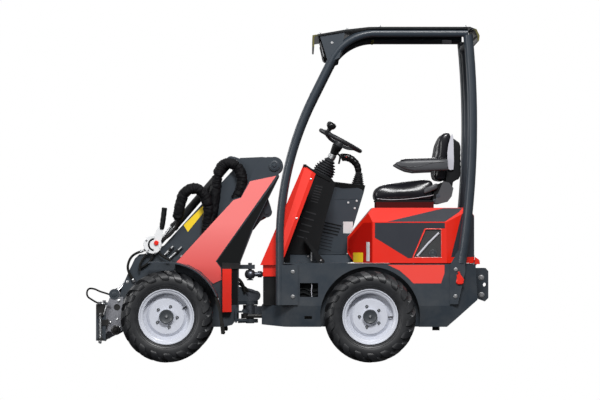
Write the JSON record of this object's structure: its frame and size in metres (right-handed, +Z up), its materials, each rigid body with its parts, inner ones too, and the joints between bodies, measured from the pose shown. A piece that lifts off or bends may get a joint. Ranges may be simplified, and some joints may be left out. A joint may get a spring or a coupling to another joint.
{
  "type": "articulated mini loader",
  "caption": "Compact articulated loader with a roof frame, seat over the rear hood, single lift arm and quick coupler.",
  "frame": {"origin": "on the ground under the middle of the whole machine", "axes": "+X to the rear of the machine, +Y to its right, +Z up; the machine faces -X"},
  "size_m": [2.5147, 0.9812, 2.0699],
  "materials": {
    "slate_paint": "satin dark slate grey",
    "red_paint": "gloss red",
    "black_plastic": "matte",
    "black_steel": "satin black",
    "cast_grey": "as cast",
    "roof_tint": "smoked, gloss",
    "seat_vinyl": "soft black vinyl",
    "chrome": "polished",
    "zinc_steel": "zinc plated",
    "hose_rubber": "matte",
    "tyre_rubber": "matte",
    "rim_paint": "satin light grey"
  },
  "bodies": {
    "rear_frame": {"rear_chassis": "slate_paint", "hitch_plate": "slate_paint", "engine_block": "cast_grey", "floor_plate": "slate_paint", "front_cowl": "red_paint", "steering_column": "black_plastic", "control_console": "slate_paint", "drive_controls": "black_plastic", "pedals": "black_plastic", "rops_left": "slate_paint", "rops_right": "slate_paint", "rops_cross_tubes": "slate_paint", "roof_panel": "roof_tint", "work_lamps": "black_plastic", "battery_boxes": "black_plastic", "step_caps": "red_paint", "rear_joint": "cast_grey", "rear_hub_motors": "black_steel", "steer_barrel": "black_steel"},
    "steering_wheel": {"steering_wheel": "black_plastic"},
    "hood": {"hood_shell": "red_paint", "seat_plinth": "black_plastic", "seat_cushion": "seat_vinyl", "seat_back": "seat_vinyl", "seat_shell": "black_plastic", "armrests": "seat_vinyl"},
    "front_frame": {"front_chassis": "slate_paint", "swivel_casting": "cast_grey", "tower": "slate_paint", "front_fenders": "slate_paint", "mud_flaps": "hose_rubber", "frame_covers": "red_paint", "front_hub_motors": "black_steel", "hose_loops": "hose_rubber"},
    "boom": {"boom_arm": "slate_paint", "hydraulic_coupler": "zinc_steel", "nose_hoses": "hose_rubber"},
    "lift_barrel": {"lift_barrel": "black_steel"},
    "lift_rod": {"lift_rod": "chrome"},
    "tilt_barrel": {"tilt_barrel": "black_steel"},
    "tilt_rod": {"tilt_rod": "chrome"},
    "steer_rod": {"steer_rod": "chrome"},
    "coupler": {"quick_coupler": "slate_paint", "lock_pins": "chrome", "coupler_hose": "hose_rubber"},
    "wheel_front_left": {"tyre_front_left": "tyre_rubber", "rim_front_left": "rim_paint"},
    "wheel_front_right": {"tyre_front_right": "tyre_rubber", "rim_front_right": "rim_paint"},
    "wheel_rear_left": {"tyre_rear_left": "tyre_rubber", "rim_rear_left": "rim_paint"},
    "wheel_rear_right": {"tyre_rear_right": "tyre_rubber", "rim_rear_right": "rim_paint"}
  },
  "joints": [
    {"name": "articulation", "type": "hinge", "parent": "rear_frame", "child": "front_frame", "pos_m": [-0.238, 0, 0.3], "axis": [0, 0, 1], "range_deg": [-40, 40]},
    {"name": "steering_wheel_turn", "type": "hinge", "parent": "rear_frame", "child": "steering_wheel", "pos_m": [0.331, 0, 1.38], "axis": [0.4695, 0, 0.8829], "continuous": true},
    {"name": "hood_tilt", "type": "hinge", "parent": "rear_frame", "child": "hood", "pos_m": [1.168, 0, 0.62], "axis": [0, 1, 0], "range_deg": [0, 55]},
    {"name": "boom_lift", "type": "hinge", "parent": "front_frame", "child": "boom", "pos_m": [-0.084, 0, 1.221], "axis": [0, 1, 0], "range_deg": [0, 85]},
    {"name": "lift_barrel_swing", "type": "hinge", "parent": "front_frame", "child": "lift_barrel", "pos_m": [-0.134, 0, 0.931], "axis": [0, 1, 0], "range_deg": [0, 84]},
    {"name": "lift_rod_slide", "type": "slide", "parent": "lift_barrel", "child": "lift_rod", "axis": [-0.8733, 0, -0.4872], "range_m": [0, 0.4]},
    {"name": "coupler_tilt", "type": "hinge", "parent": "boom", "child": "coupler", "pos_m": [-1.078, 0, 0.196], "axis": [0, 1, 0], "range_deg": [-100, 15]},
    {"name": "tilt_barrel_swing", "type": "hinge", "parent": "boom", "child": "tilt_barrel", "pos_m": [-0.358, 0, 1.252], "axis": [0, 1, 0], "range_deg": [-0.5, 2.2]},
    {"name": "tilt_rod_slide", "type": "slide", "parent": "tilt_barrel", "child": "tilt_rod", "axis": [-0.654, 0, -0.7565], "range_m": [-0.055, 0.345]},
    {"name": "steer_rod_slide", "type": "slide", "parent": "rear_frame", "child": "steer_rod", "axis": [-0.9967, 0.081, 0], "range_m": [-0.1, 0.1]},
    {"name": "roll_front_left", "type": "hinge", "parent": "front_frame", "child": "wheel_front_left", "pos_m": [-0.746, -0.415, 0.283], "axis": [0, 1, 0], "continuous": true},
    {"name": "roll_front_right", "type": "hinge", "parent": "front_frame", "child": "wheel_front_right", "pos_m": [-0.746, 0.415, 0.283], "axis": [0, 1, 0], "continuous": true},
    {"name": "roll_rear_left", "type": "hinge", "parent": "rear_frame", "child": "wheel_rear_left", "pos_m": [0.508, -0.415, 0.283], "axis": [0, 1, 0], "continuous": true},
    {"name": "roll_rear_right", "type": "hinge", "parent": "rear_frame", "child": "wheel_rear_right", "pos_m": [0.508, 0.415, 0.283], "axis": [0, 1, 0], "continuous": true}
  ],
  "couplings": [
    {"joint": "lift_barrel_swing", "follows": "boom_lift", "ratio": 0.9832},
    {"joint": "lift_rod_slide", "follows": "boom_lift", "m_per_rad": 0.2678},
    {"joint": "tilt_barrel_swing", "follows": "coupler_tilt", "ratio": -0.02},
    {"joint": "tilt_rod_slide", "follows": "coupler_tilt", "m_per_rad": -0.1946},
    {"joint": "steer_rod_slide", "follows": "articulation", "m_per_rad": -0.141}
  ]
}
